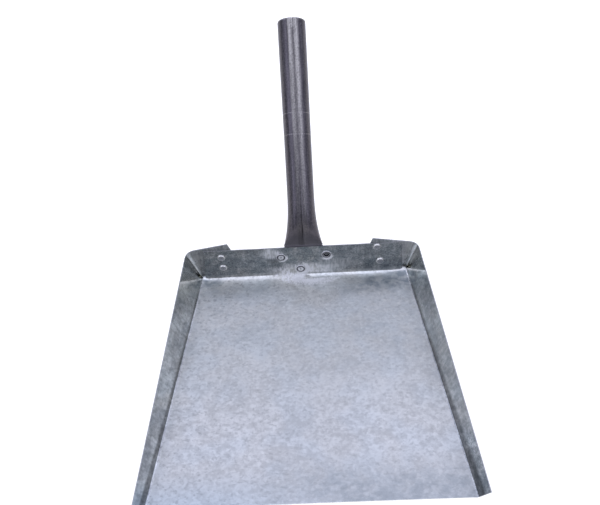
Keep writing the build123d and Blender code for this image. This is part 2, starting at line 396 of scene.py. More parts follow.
def surface_place(tree, scale=(1, 1, 1), origin=(0, 0, 0)):
    """The piece's own coordinates, drawn out for a pattern."""
    return stretched(tree, node(tree, "ShaderNodeTexCoord").outputs["Object"], scale, origin)


def noise_pattern(tree, place, scale, detail=2.0, roughness=0.5):
    """Cloudy pattern from 0 to 1."""
    pattern = node(tree, "ShaderNodeTexNoise")
    return feed(tree, pattern, scale=scale, detail=detail, roughness=roughness, vector=place).outputs["Fac"]


def spread(tree, value, low, high, to_low=0.0, to_high=1.0):
    """Smooth step of a pattern between two levels."""
    step = node(tree, "ShaderNodeMapRange", interpolation_type="SMOOTHSTEP")
    feed(tree, step, from_min=low, from_max=high, to_min=to_low, to_max=to_high, value=value)
    return step.outputs["Result"]


def combine(tree, operation, a, b=0.0):
    """Arithmetic on values, each a socket or a number."""
    made = node(tree, "ShaderNodeMath", operation=operation)
    for socket, value in zip(made.inputs, (a, b)):
        if isinstance(value, (int, float)):
            socket.default_value = value
        else:
            tree.links.new(value, socket)
    return made.outputs["Value"]


def times(tree, a, b):
    """Product of two values."""
    return combine(tree, "MULTIPLY", a, b)


def plus(tree, a, b):
    """Sum of two values."""
    return combine(tree, "ADD", a, b)


def colour_mix(tree, amount, a, b, blend="MIX"):
    """Mix of two colours, each a socket or a tuple."""
    made = node(tree, "ShaderNodeMix", data_type="RGBA", blend_type=blend)
    tree.links.new(amount, made.inputs[0])
    for socket, value in ((made.inputs[6], a), (made.inputs[7], b)):
        if isinstance(value, tuple):
            socket.default_value = (*value, 1)
        else:
            tree.links.new(value, socket)
    return made.outputs[2]


def tinted(tree, amount, body, pattern, darker, paler):
    """A colour times a pattern of two tints."""
    return colour_mix(tree, amount, body, colour_mix(tree, pattern, darker, paler), "MULTIPLY")


def bump(tree, principled, height, distance, strength):
    """Fine relief of a surface."""
    made = feed(tree, node(tree, "ShaderNodeBump"), distance=distance * mm, strength=strength, height=height)
    feed(tree, principled, normal=made.outputs["Normal"])


# Zinc: small crystals that each mirror a little differently, dark flecks between them and cloudy patches.
# It is rubbed dull round the handle's rivets, with painted highlights on the craters there. Painted shade
# darkens the folds, the hollows of the rear corners, the left tab and a strip of the floor before the back
# fold; there are a few dirty marks, and a grey bloom lies over the rest.
zinc_pale = (0.72, 0.72, 0.69)
zinc_grey = (0.53, 0.53, 0.506)
zinc_fleck = (0.36, 0.36, 0.345)
zinc_blue = (0.90, 0.985, 1.07)
zinc_warm = (1.0, 1.0, 0.945)
zinc_bloom_and_shade = (0.265, 0.295, 0.298)
zinc_rubbed_and_highlight = (0.74, 0.74, 0.71)
zinc_dirt_and_shade = (0.055, 0.055, 0.052)
run_tints = (0.78, 0.79, 0.79), (1.12, 1.11, 1.11)
stain_tints = (0.79, 0.79, 0.80), (1.12, 1.12, 1.11)
speckle_tints = (0.70, 0.70, 0.71), (1.30, 1.29, 1.28)
galvanised, tree, zinc = shader("galvanised_zinc")
place = surface_place(tree)
rolled_out = surface_place(tree, (1.5, 1, 1))
across_pan, along_pan, _ = split(tree, place)
wear_dull_and_highlight, wear_dirt_and_shade, wear_bloom_and_shade = split(tree, kept_mark(tree, "wear_and_light"))
crystals = feed(tree, node(tree, "ShaderNodeTexVoronoi", feature="F1"), scale=420, vector=place)
crystal = feed(tree, node(tree, "ShaderNodeSeparateColor"), color=crystals.outputs["Color"]).outputs
patches = noise_pattern(tree, rolled_out, 170, 3.0, 0.6)
clouds = noise_pattern(tree, surface_place(tree, (1.4, 1, 1)), 30)
mottle = noise_pattern(tree, surface_place(tree, (1.5, 1, 1), (0.5, 0.2, 0)), 430)
tone = times(tree, crystal["Red"], 0.2)
for pattern, share in ((patches, 0.8), (clouds, 0.5), (mottle, 0.6)):
    tone = plus(tree, tone, times(tree, pattern, share))
body = colour_mix(tree, spread(tree, tone, 0.78, 1.32), zinc_grey, zinc_pale)
# There are more flecks towards the left and the back
flecks = spread(tree, noise_pattern(tree, rolled_out, 430, 3.0, 0.6), 0.52, 0.70)
fleck_share = times(tree, spread(tree, across_pan, -95 * mm, 25 * mm, 0.58, 0.36),
                    spread(tree, along_pan, 40 * mm, 90 * mm, 1.0, 1.5))
body = colour_mix(tree, times(tree, flecks, fleck_share), body, zinc_fleck)
# The floor is warmer towards the back, and bluer at the mouth and in faint clouds
on_walls = spread(tree, wear_bloom_and_shade, 0.0, 0.06)
warm = times(tree, spread(tree, along_pan, -70 * mm, 60 * mm, 0.5, 1.0),
             spread(tree, on_walls, 0, 1, 1.0, 0.2))
body = colour_mix(tree, warm, body, zinc_warm, "MULTIPLY")
hue = noise_pattern(tree, surface_place(tree, (1.2, 1, 1), (0.3, 0.1, 0)), 40, 1.0)
mouth = times(tree, spread(tree, along_pan, -115 * mm, -78 * mm, 1, 0),
              spread(tree, across_pan, -100 * mm, 10 * mm, 1.0, 0.35))
cool = combine(tree, "MAXIMUM", mouth, spread(tree, hue, 0.40, 0.65, 0.0, 0.3))
body = colour_mix(tree, cool, body, zinc_blue, "MULTIPLY")
# The walls have runs and stains, and bloom lies over walls and floor in patches, with painted shade in the
# floor's strip before the back fold and in its rear corners
runs = noise_pattern(tree, surface_place(tree, (1, 1, 6)), 330, 3.0, 0.6)
body = tinted(tree, on_walls, body, spread(tree, runs, 0.35, 0.65), *run_tints)
stains = noise_pattern(tree, surface_place(tree, (2, 1.5, 1), (0.2, 0.4, 0.1)), 80)
body = tinted(tree, on_walls, body, spread(tree, stains, 0.36, 0.64), *stain_tints)
bloom_and_shade = times(tree, combine(tree, "ABSOLUTE", wear_bloom_and_shade), spread(tree, patches, 0.35, 0.65, 0.4, 1.3))
body = colour_mix(tree, bloom_and_shade, body, zinc_bloom_and_shade)
speckle = noise_pattern(tree, surface_place(tree, (1.3, 1, 1)), 800, 3.0, 0.7)
deep_bloom = spread(tree, wear_bloom_and_shade, 0.4, 0.6)
body = tinted(tree, deep_bloom, body, spread(tree, speckle, 0.35, 0.65), *speckle_tints)
# Rubbing leaves pale streaks, painted highlights lie on the lit side of the craters round the handle's
# rivets, and dirt and painted shade lie over everything
streaks = noise_pattern(tree, surface_place(tree, (1, 1, 9)), 700)
rubbed_and_highlight = times(tree, spread(tree, wear_dull_and_highlight, 0.4, 1.0), spread(tree, streaks, 0.38, 0.62, 0.05, 1.0))
rubbed_and_highlight = combine(tree, "MAXIMUM", rubbed_and_highlight, spread(tree, wear_dull_and_highlight, 1.0, 1.5))
body = colour_mix(tree, rubbed_and_highlight, body, zinc_rubbed_and_highlight)
dirt_and_shade = times(tree, wear_dirt_and_shade, spread(tree, patches, 0.3, 0.7, 0.7, 1.0))
rough = plus(tree, times(tree, crystal["Green"], 0.06), 0.30)
rough_changes = (times(tree, flecks, 0.06), times(tree, on_walls, -0.16),
                 spread(tree, wear_dull_and_highlight, 0.0, 0.5, 0.0, 0.25), spread(tree, wear_dull_and_highlight, -0.5, 0.0, -0.16, 0.0))
for change in rough_changes:
    rough = plus(tree, rough, change)
feed(tree, zinc, base_color=colour_mix(tree, dirt_and_shade, body, zinc_dirt_and_shade), roughness=rough,
     metallic=spread(tree, rubbed_and_highlight, 0, 1, 1.0, 0.4))
relief = plus(tree, noise_pattern(tree, place, 700, 3.0, 0.6), times(tree, crystal["Blue"], 0.4))
bump(tree, zinc, relief, 0.02, spread(tree, wear_dull_and_highlight, -0.5, 0.0, 0.04, 0.25))

shear_dark = (0.36, 0.36, 0.345)
shear_pale = (0.52, 0.52, 0.50)
sheared, tree, cut = shader("sheared_zinc_edge")
shear_marks = noise_pattern(tree, surface_place(tree, (1, 1, 6)), 1500)
feed(tree, cut, base_color=colour_mix(tree, shear_marks, shear_dark, shear_pale),
     roughness=spread(tree, shear_marks, 0.3, 0.7, 0.4, 0.6), metallic=1.0)

# Stations of the folded sheet: along the sides, round the corners to the ends of the tabs, up the walls and
# across the floor
along_stations = spaced((0, 0.002, 1), (0.002, 0.9, 80), (0.9, 1, 26))
round_stations = spaced((1, 2, 14), (2, 2.3, 14), (2.3, 2.985, 16), (2.985, 3, 1))
high_levels = spaced((0, 0.988, 16), (0.988, 1, 1))
floor_columns = spaced((-1, -0.996, 1), (-0.996, -0.34, 30), (-0.34, 0.34, 110), (0.34, 0.996, 30),
                       (0.996, 1, 1))
side_bend_steps = 7
back_fold_steps = 11
back_wall_steps = 54
gap_z = sheet + tab_floor_gap
corner_foot_z = 0.5
side_bend_top = sheet + bend_radius * (1 - cos(side_bend_angle))


def wall_column(side, station, foot_z):
    """Points up a side wall or a tab at one station, from its foot."""
    rim = side_rim(side, station)
    heights = [foot_z] + [gap_z + (rim - gap_z) * level for level in high_levels]
    return [wall_path(side, z, station) for z in heights]


def floor_row(station):
    """One line across the pan: left wall from its rim, bend, floor, bend and right wall to its rim."""
    y = front_y - sheet * front_lean + (floor_end - front_y + sheet * front_lean) * station
    walls = {side: wall_column(side, station, side_bend_top) for side in (left, right)}
    bends, flat = {}, {}
    for side in (left, right):
        edge = half_width(y, 0, side)
        flat[side] = flange_foot * edge / half_width(floor_end, 0, side)
        bends[side] = []
        for angle in np.linspace(0, side_bend_angle, side_bend_steps)[:-1]:
            out = bend_radius * sin(angle) - side_bend_run
            x = side * (edge + out * cos(side_taper))
            z = sheet + bend_radius * (1 - cos(angle))
            bends[side].append(np.array([x, y + out * sin(side_taper), z]))
    across = [flat[right if column > 0 else left] * column for column in floor_columns]
    floor = [np.array([x, y, floor_height(x, y)]) for x in across]
    return walls[left][::-1] + bends[left][::-1] + floor + bends[right] + walls[right]


def back_column(column):
    """One line up the back wall from the floor: the fold, then the dented wall. Its side edges taper to the
    rim, and its foot flares into the fold except close to the lower rivet."""
    foot = flange_foot * column
    radius = foot_radius(foot)
    begin = fold_begin(radius)
    first = asin(sin(fold_tilt) + (floor_end - begin) / radius)
    points = []
    for angle in np.linspace(first, fold_steep, back_fold_steps):
        y = begin + radius * (sin(angle) - sin(fold_tilt))
        points.append(np.array([foot, y, fold_z(foot) + radius * (cos(fold_tilt) - cos(angle))]))
    fold_h = np.dot(points[-1] - wall_foot, wall_up)
    ahead = np.dot(points[-1] - wall_foot, wall_in)
    rivet_x, rivet_h = handle_rivet_places["lower"]
    for h in spaced((fold_h, back_height, back_wall_steps))[1:]:
        x = foot - column * (h - fold_h) * tan(flange_taper)
        flare = ahead * max(1 - (h - fold_h) / fold_blend, 0) ** 2
        inward = wall_dent(x, h) + flare * ramp(hypot(x - rivet_x, h - rivet_h), *flare_from_rivet)
        points.append(wall_foot + wall_up * h + wall_in * inward + np.array([x, 0, 0]))
    return points


floor_and_sides = np.array([floor_row(station) for station in along_stations])
back_wall = np.array([back_column(column) for column in floor_columns])
grids = [floor_and_sides, back_wall[::-1]]
# At each rear corner the floor runs on, curling up into the tab behind the end of the fold
corner_count = 9
corner_overlap = 0.4
wall_count = len(high_levels) - 1
last_row = floor_and_sides[-1]
for row in (last_row[wall_count:wall_count + corner_count], last_row[-wall_count - corner_count:-wall_count]):
    far_y = np.maximum(tab_y(row[:, 2]), row[:, 1]) + corner_overlap
    far_row = np.stack([row[:, 0], far_y, row[:, 2] + (far_y - row[:, 1]) * tan(fold_tilt)], axis=1)
    grids.append(np.array([row, far_row]))
for side in (left, right):
    strip = np.array([wall_column(side, station, corner_foot_z) for station in round_stations])
    grids.append(strip if side == right else strip[:, ::-1])
grids = [np.array([[pinched(point) for point in row] for row in grid]) for grid in grids]
# The feet of the corners and tabs are not drawn up
left_strip, right_strip = grids[-2:]
left_strip[:, -1, 2] = corner_foot_z
right_strip[:, 0, 2] = corner_foot_z

# Rubbed and dirty marks on the back wall and the floor before it; the last dark mark is painted shadow below
# the lower rivet's crater. Each has its amount, its place across and up from the fold, its half width, its
# half height and the share of it that is full. None lies further over the floor or to the sides than the
# first two values say, and their edges are ragged.
marked_floor = 50
marked_half = 98
ragged_depth = 2.0
ragged_waves = (5, 8)
rub_marks = (
    (1.0, 0, 5, 60, 19, 0.25),
    (0.95, -29, 30, 19, 12, 0.3),
    (0.65, 32, 14, 40, 14, 0.3),
    (0.42, 3, -16, 48, 34, 0.3),
    (1.35, 6, -4, 46, 14, 0.25),
)
dirt_and_shadow_marks = (
    (0.5, -29.5, 20, 7, 6, 0.3),
    (0.3, -25, 14.5, 10, 4, 0.3),
    (0.2, 62, -9, 26, 6, 0.3),
    (0.15, 86, -13, 14, 6, 0.3),
    # Painted shadow in the dent below and right of the lower rivet's crater
    (0.4, 3.5, -1.5, 3.5, 2.0, 0.3),
)
# The painted highlight on the lit side of the crater round each rivet of the handle: its radius, its
# direction, its half width, and how much further than half of the way round it goes
crater_highlight = {
    "left": (5.7, -0.8, 0.8, 0.0),
    "right": (6.0, -1.3, 1.0, 0.0),
    "lower": (7.0, -0.2, 1.8, 0.35),
}
full_highlight = 1.5
crater_raggedness = 0.6
crater_waves = 3
crater_edge = 0.8
# The back fold is burnished, except in the stretch where it was pressed out
burnish = -0.5
burnish_reach = (4.5, 2.5)
plain_fold_x = -11
plain_fold_half = (10, 18)
# The tabs: how far each is rubbed beside the bend, the painted shade there and the bloom. The bend leans
# outward.
tab_rubbed = {left: 0.42, right: 0.60}
tab_shade = {left: 0.14, right: 0.0}
tab_bloom = {left: 0.13, right: 0.08}
tab_bend_foot = 96.6
tab_bend_lean = 0.31
# The side walls: the most painted shade at the foot, how far it reaches up from the foot at the back, how
# much further at the mouth, how softly it ends, and how much lies in the bend itself in the rear half
wall_foot_shade = 0.8
wall_foot_shade_reach = {left: (1.5, 6.0), right: (1.0, 7.0)}
wall_foot_shade_edge = {left: 3.0, right: 6.0}
bend_shade = {left: 0.22, right: 0.38}
# Bloom of the side walls: the least, the rest of it with the places where that starts and is full, and more
# at the mouth
wall_bloom = {left: (0.034, 0.11, 75, 25, 0.0), right: (0.042, 0.36, 80, 10, 0.30)}
# Short of the rear bends the side walls keep the gloss of the mill, in a stretch that leans forward
gloss_lean = 0.78
gloss_starts = (92, 106)
gloss_ends = (119, 111)
# The rear bends: burnished at the left, a little dull beside the right one
corner_burnish = -0.3
corner_dull = 0.2
# Painted shade in the hollow of each rear corner: its amount, its place and its half width and height
hollow_shade = 0.9
hollow_x = 100.5
hollow_z = 5.5
hollow_half_x = 3.5
hollow_half_z = 3
# Bloom of the back wall, with what is added at the right and in the middle
flange_bloom = 0.72
flange_bloom_right = -0.11
flange_bloom_middle = 0.10
# Bloom of the floor, with what is added towards the right: a strip of painted shade before the back fold, the
# rear half and the mouth. Then a faint patch, and painted shade in the rear corners.
strip_shade, strip_shade_right = 0.10, 0.38
rear_bloom, rear_bloom_right = 0.27, 0.05
mouth_bloom, mouth_bloom_right = 0.17, 0.33
patch_bloom = 0.07
corner_shade = {left: 0.75, right: 0.95}
# How much paler the floor is in the middle of its rear half, and in a swept patch before the lower rivet
mid_bloom_paler = 0.7
swept_paler = 0.8


def mark_depth(x, climb, marks):
    """Depth of the deepest of some soft oval marks with ragged edges."""
    wave_x, wave_climb = ragged_waves
    depths = []
    for amount, middle_x, middle_climb, half_x, half_climb, core in marks:
        r = hypot((x - middle_x) / half_x, (climb - middle_climb) / half_climb)
        r += ragged_depth / half_climb * uneven(x / wave_x, climb / wave_climb, middle_x)
        depths.append(amount * ramp(r, 1, core))
    return max(depths)


def rubbed_and_highlit_wall(x, climb):
    """How far the back wall and the floor before it are rubbed, with painted highlights on the lit side of
    the craters round the handle's rivets. Climb is the distance up the wall from the fold."""
    rubbed_and_highlight = mark_depth(x, climb, rub_marks)
    burnished = ramp(abs(x - plain_fold_x), *plain_fold_half) * ramp(abs(climb + 1), *burnish_reach)
    rubbed_and_highlight += (burnish - rubbed_and_highlight) * burnished
    # Painted highlight on the lit side of the crater round each rivet
    for name, (rivet_x, rivet_h) in handle_rivet_places.items():
        crest, bright_turn, half_shine, more_round = crater_highlight[name]
        ragged = crater_raggedness * uneven(x / crater_waves, climb / crater_waves, rivet_x)
        r = hypot(x - rivet_x, climb - rivet_h) + ragged
        turn = atan2(climb - rivet_h, x - rivet_x) - bright_turn
        on_crest = ramp(abs(r - crest), half_shine + crater_edge, half_shine)
        rubbed_and_highlight = max(rubbed_and_highlight, full_highlight * ramp(cos(turn) + more_round, 0, 0.9) * on_crest)
    return rubbed_and_highlight


def floor_bloom_and_shade(x, y, side):
    """Grey of the floor: painted shade in a strip before the back fold, deepest at the right, and in the rear
    corners; bloom over the rear half apart from its middle, a faint patch and the mouth. A swept patch before
    the lower rivet is paler."""
    off_fold = floor_end - y
    begins = ramp(off_fold, 2, 16 - 8 * ramp(x, 0, 50))
    # A strip of painted shade before the back fold, standing for the back wall's dark reflection
    strip = strip_shade + strip_shade_right * ramp(x, 0, 70)
    strip *= ramp(abs(x), 15, 45)
    strip *= ramp(off_fold, 29, 13)
    # Painted shade in the rear corners of the floor
    corner = corner_shade[side] * ramp(abs(x), 76, 90) * ramp(off_fold, 0.6, 1.8) * ramp(off_fold, 16, 5)
    rear = (rear_bloom + rear_bloom_right * ramp(x, 30, 70)) * ramp(y, -45, 50)
    rear *= 1 - mid_bloom_paler * ramp(abs(x - 2), 40, 10) * ramp(y, 45, 75)
    patch = patch_bloom * ramp(abs(x - 5), 50, 0) * ramp(abs(y + 45), 70, 30)
    at_mouth = (mouth_bloom + mouth_bloom_right * ramp(x, -50, 40)) * ramp(y, -65, -100)
    swept = ramp(hypot((x - 20) / 58, (off_fold - 4) / 22), 1.0, 0.4)
    return max((strip + rear) * begins * (1 - swept_paler * swept), corner) + patch + at_mouth


def pan_wear_and_painted_light(point):
    """Wear and painted light at a point of the pan: how far it is dulled and then rubbed pale or painted with
    a highlight (or, below 0, burnished), how much dirt and painted shade lie there, and how grey its bloom
    and painted shade are. The floor's bloom is below 0, because no runs mark it."""
    x, y, z = point
    side = right if x > 0 else left
    rise = z - sheet
    h = np.dot(point - wall_foot, wall_up)
    climb = h if y > floor_end else y - floor_end
    up_side = rise if abs(x) > half_width(y, 0, side) - side_bend_run else -1
    along = min(max((bend_y - y) / floor_length, 0), 1)
    on_flange = abs(x) < flange_foot + 0.6 - h * tan(flange_taper) and 1 < h < back_height + 0.5
    behind_wall = y > bend_y + rise * tan(back_lean) + 0.5
    dull_and_highlight, dirt_and_shade, bloom_and_shade = 0.0, 0.0, -floor_bloom_and_shade(x, y, side)
    if y > bend_y - marked_floor and abs(x) < marked_half:
        dull_and_highlight = rubbed_and_highlit_wall(x, climb)
        dirt_and_shade = mark_depth(x, climb, dirt_and_shadow_marks)
    # Painted shade along the foot of the side walls
    if up_side >= 0.2 and y < bend_y - 3:
        reach = wall_foot_shade_reach[side][0] + wall_foot_shade_reach[side][1] * along ** 2
        dirt_and_shade = wall_foot_shade * ramp(up_side, 0.2, 1.0) * ramp(up_side, reach + wall_foot_shade_edge[side], reach)
        dirt_and_shade *= ramp(y, bend_y - 8, bend_y - 28)
    # Painted shade in the side bend itself, deeper towards the back
    if 0 < up_side < 0.7 and y < bend_y - 1:
        dirt_and_shade = max(dirt_and_shade, bend_shade[side] * ramp(y, -50, 10))
    if y > floor_end and on_flange:
        bloom_and_shade = flange_bloom + flange_bloom_right * ramp(x, 30, 50)
        bloom_and_shade = (bloom_and_shade + flange_bloom_middle * ramp(abs(x), 35, 15)) * ramp(h, 1, 6)
    elif behind_wall and abs(x) < 100:
        bloom_and_shade = tab_bloom[side]
    elif up_side > 0:
        least, rest, start, full, at_mouth = wall_bloom[side]
        bloom_and_shade = least + rest * ramp(y, start, full) + at_mouth * ramp(y, -30, -100)
        off_corner = hypot(abs(x) - half_width(y, rise, side), y - bend_y - rise * tan(back_lean))
        dull_and_highlight = corner_burnish * ramp(off_corner, 7, 3)
        if side == right:
            dull_and_highlight = corner_dull * ramp(off_corner, 3, 7) * ramp(off_corner, 16, 8)
        to_bend = y + gloss_lean * z
        dull_and_highlight += (burnish - dull_and_highlight) * ramp(to_bend, *gloss_starts) * ramp(to_bend, *gloss_ends)
    off_bend = abs(x) - tab_bend_foot - tab_bend_lean * z
    if behind_wall and abs(x) > flange_foot - 12 and off_bend < -1:
        dull_and_highlight = max(dull_and_highlight, tab_rubbed[side] * ramp(z, 3, 11))
        # Painted shade on the tab beside the bend, standing for a dark reflection
        dirt_and_shade = max(dirt_and_shade, tab_shade[side] * ramp(off_bend, -1, -3))
    # Painted shade in the hollow of each rear corner
    if y > floor_end + 0.5:
        off_hollow = hypot((abs(x) - hollow_x) / hollow_half_x, (z - hollow_z) / hollow_half_z)
        dirt_and_shade = max(dirt_and_shade, hollow_shade * ramp(off_hollow, 1, 0.4))
    return (dull_and_highlight, dirt_and_shade, bloom_and_shade * ramp(dull_and_highlight, 1, 0.4))


pan_marks = [[[pan_wear_and_painted_light(point) for point in row] for row in grid] for grid in grids]
pan_mesh = sheet_mesh("pan_sheet", grids, "wear_and_light", pan_marks)
pan = sheet_object("folded_pan", pan_mesh, sheet, [galvanised, sheared])
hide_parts("pan")
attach(pan, "root")


# Handle
# One strip of dark rolled steel, curled to a tube whose edges meet in an open seam on the upper side.
# At the pan it opens, flattens and folds down as a tongue, which the three rivets hold behind the back wall.
grip = next(mount for mount in frame["record"]["mounts"] if mount["name"] == "handle_grip")
tube_radius = grip["dims"]["r_mm"]
tube_wall = 1.0
tube_slimming = 0.034
slim_foot = (5, 50)
slim_top = (200, 70)
tube_drift = -0.0042
drift_from = 30.0
neck_length = 46.0
neck_flare = 2.8
neck_width = 37.0
neck_thickness = 6.0
seam_width = 0.12
seam_mouth = 0.5
seam_opening_length = 75.0
seam_turn = radians(3.0)
seam_turn_reach = (20, 60)
lip_reach = {left: 7.0, right: 2.0}
lip_turn_top = {left: 0.25, right: 0.5}
lip_turn_foot = {left: 1.0, right: 0.8}
lip_turn_length = 135.0
lip_roundness = 1.6
end_roll = 1.4
end_roll_depth = 0.4
clamp_marks = (101.5, 121.0)
clamp_mark_depth = 0.05
clamp_mark_half = 0.7
fold_radius = 2.0
fold_below_rim = 1.0
tongue_width = 60.0
tongue_end_width = 26.0
tongue_end_round = 4.0
tongue_bottom = 3.0
tongue_waist = 18.0
tongue_shoulder = 31.0
rim_fold_steps = 7
tongue_rows = 40

tube_axis = np.array(grip["axis"])
tube_back = np.array([0, tube_axis[2], -tube_axis[1]])
tube_length = grip["dims"]["length_mm"] + neck_length
tube_foot = np.array(grip["pos_m"]) / mm - tube_axis * (grip["dims"]["length_mm"] / 2 + neck_length)
flat_straight = (neck_width - neck_thickness) / 2
flat_half_length = 2 * flat_straight + pi * neck_thickness / 2
tongue_edge = flat_straight / (flat_half_length - seam_mouth / 2)


def handle_outline(column, flatness, gap, a):
    """Section of the curled sheet: a circle that flattens to a long round-ended slot, its back staying in
    line. The edges turn in at the seam, one more than the other, and further towards the pan."""
    width = 2 * tube_radius + (neck_width - 2 * tube_radius) * flatness
    thickness = 2 * tube_radius + (neck_thickness - 2 * tube_radius) * flatness
    straight, half = (width - thickness) / 2, thickness / 2
    length = 2 * straight + pi * half
    s = abs(column) * (length - gap / 2)
    if s <= straight:
        x, y = s, tube_radius
    elif s <= straight + pi * half:
        angle = (s - straight) / half
        x, y = straight + half * sin(angle), tube_radius - half + half * cos(angle)
    else:
        x, y = length - s, tube_radius - thickness
    lip = right if column > 0 else left
    deeper = max(1 - a / lip_turn_length, 0) ** 2
    turn = lip_turn_top[lip] + (lip_turn_foot[lip] - lip_turn_top[lip]) * deeper
    turned = turn * max(1 - (1 - abs(column)) * length / lip_reach[lip], 0) ** lip_roundness
    return np.array([x if column >= 0 else -x, y + turned])


def handle_row(a):
    """One section of the curled sheet at a length up the handle, from one edge of the seam to the other."""
    gap = seam_width + (seam_mouth - seam_width) * max(1 - a / seam_opening_length, 0)
    flatness = max(1 - a / neck_length, 0) ** neck_flare
    rolled = max((a - tube_length + end_roll) / end_roll, 0)
    drawn_in = end_roll_depth * (1 - sqrt(max(1 - rolled ** 2, 0)))
    for mark in clamp_marks:
        drawn_in += clamp_mark_depth * ramp(abs(a - mark), clamp_mark_half, 0)
    slimmer = tube_slimming * ramp(a, *slim_top) * ramp(a, *slim_foot)
    drift = tube_drift * max(a - drift_from, 0)
    turn = seam_turn * ramp(a, *seam_turn_reach)
    row = []
    for column in handle_columns:
        x, y = handle_outline(column, flatness, gap, a) * (1 - slimmer - drawn_in / tube_radius)
        x, y = x * cos(turn) - y * sin(turn), x * sin(turn) + y * cos(turn)
        row.append(tube_foot + np.array([x + drift, 0, 0]) + tube_back * y + tube_axis * a)
    return row


def tongue_half_width(h):
    """Half width of the tongue at a height on the back wall: shoulders, flanks and a narrow rounded end."""
    shoulder = neck_width / 2 + (tongue_width - neck_width) / 2 * ramp(h, back_height, tongue_shoulder)
    narrowing = max(tongue_waist - h, 0) / (tongue_waist - tongue_bottom)
    corner = max(1 - (h - tongue_bottom) / tongue_end_round, 0)
    rounding = tongue_end_round * (1 - sqrt(1 - corner ** 2))
    return shoulder - (tongue_width - tongue_end_width) / 2 * narrowing - rounding


def tongue_column(column):
    """One line of the tongue's rear face: round the fold at the rim, then down the back wall."""
    centre_x = tube_foot[0]
    fold_start = wall_foot + wall_up * (back_height - fold_below_rim) - wall_in * sheet
    fold_middle = fold_start - wall_in * (fold_radius + tube_wall)
    points = []
    turn = np.arccos(np.dot(-tube_back, wall_in))
    for angle in np.linspace(0, turn, rim_fold_steps):
        normal = (-tube_back * sin(turn - angle) + wall_in * sin(angle)) / sin(turn)
        half = flat_straight + (neck_width / 2 - flat_straight) * ramp(angle, 0, turn / 3)
        points.append(fold_middle + normal * fold_radius + np.array([centre_x + column * half, 0, 0]))
    points[0] = tube_foot + tube_back * tube_radius + np.array([flat_straight * column, 0, 0])
    for h in spaced((back_height - fold_below_rim, tongue_bottom, tongue_rows))[1:]:
        wall_point = wall_foot + wall_up * h - wall_in * (sheet + tube_wall)
        points.append(wall_point + np.array([centre_x + column * tongue_half_width(h), 0, 0]))
    return points


# Dark mill-finish steel: draw marks run the length of the strip. Bands beside the seam are painted pale as
# the highlight along the tube, and painted shade lies beside them near the pan. Two faint rings are left
# where the strip was held, and its end is worn.
steel_dark = (0.0575, 0.053, 0.056)
steel_grey = (0.106, 0.097, 0.102)
steel_foot = (0.182, 0.168, 0.176)
steel_highlight = (0.49, 0.465, 0.415)
steel_shade = (0.036, 0.034, 0.034)
steel_worn = (0.46, 0.44, 0.41)
rolled_steel, tree, steel = shader("rolled_steel")
strip_place = kept_mark(tree, "strip_place")
around, along, _ = split(tree, strip_place)
draw_marks = noise_pattern(tree, stretched(tree, strip_place, (1, 30, 1)), 900, 3.0, 0.6)
speckle = noise_pattern(tree, surface_place(tree, (1, 1.6, 1.6)), 1000, 3.0, 0.7)
tone = plus(tree, times(tree, draw_marks, 0.45), times(tree, speckle, 0.55))
body = colour_mix(tree, spread(tree, tone, 0.42, 0.60), steel_dark, steel_grey)
body = colour_mix(tree, spread(tree, along, 4 * mm, 18 * mm, 0.8, 0.0), body, steel_foot)
from_seam = combine(tree, "SUBTRACT", pi * tube_radius * mm, combine(tree, "ABSOLUTE", around))
on_right = combine(tree, "GREATER_THAN", around, 0)
on_side = {left: combine(tree, "SUBTRACT", 1, on_right), right: on_right}


def beside_seam(side, *steps):
    """Product, on one side of the seam, of smooth steps between two distances from it and two values."""
    share = on_side[side]
    for start, end, begin, finish in steps:
        share = times(tree, share, spread(tree, from_seam, start * mm, end * mm, begin, finish))
    return share


# Painted highlight: pale bands either side of the seam, fading towards the pan
painted_highlight = plus(tree, beside_seam(left, (0, 2.0, 0.38, 0.81), (3.0, 5.4, 1, 0)),
              beside_seam(right, (0.9, 2.2, 0.36, 0.90), (2.6, 7.0, 1, 0)))
painted_highlight = times(tree, painted_highlight, spread(tree, along, -24 * mm, 182 * mm))
painted_highlight = times(tree, painted_highlight, spread(tree, tone, 0.40, 0.60, 0.5, 1.15))
body = colour_mix(tree, painted_highlight, body, steel_highlight)
# Painted shade beside the bright edges near the pan, and in the line where the left edge turns in
groove_shade = plus(tree, beside_seam(left, (3.2, 5.4, 1, 0)), beside_seam(right, (0.2, 1.6, 1, 0)))
groove_shade = times(tree, groove_shade, spread(tree, along, 12 * mm, 45 * mm, 0.4, 0))
fold_line_shade = beside_seam(left, (3.0, 3.9, 0, 1), (4.4, 5.4, 1, 0))
fold_line_shade = times(tree, fold_line_shade, spread(tree, along, 20 * mm, 45 * mm, 0, 0.4))
fold_line_shade = times(tree, fold_line_shade, spread(tree, along, 50 * mm, 115 * mm, 1, 0))
body = colour_mix(tree, plus(tree, groove_shade, fold_line_shade), body, steel_shade)
patchy = spread(tree, speckle, 0.35, 0.65, 0.15, 1.0)
for mark in clamp_marks:
    off_mark = combine(tree, "ABSOLUTE", combine(tree, "SUBTRACT", along, mark * mm))
    ring = times(tree, spread(tree, off_mark, 0.15 * mm, 0.6 * mm, 0.35, 0), patchy)
    body = colour_mix(tree, ring, body, steel_worn)
end_wear = spread(tree, along, (tube_length - 1.8) * mm, (tube_length - 0.3) * mm, 0, 0.9)
body = colour_mix(tree, times(tree, end_wear, patchy), body, steel_worn)
feed(tree, steel, base_color=body, roughness=spread(tree, tone, 0.3, 0.7, 0.28, 0.42), metallic=1.0)
bump(tree, steel, plus(tree, draw_marks, speckle), 0.04, 0.5)

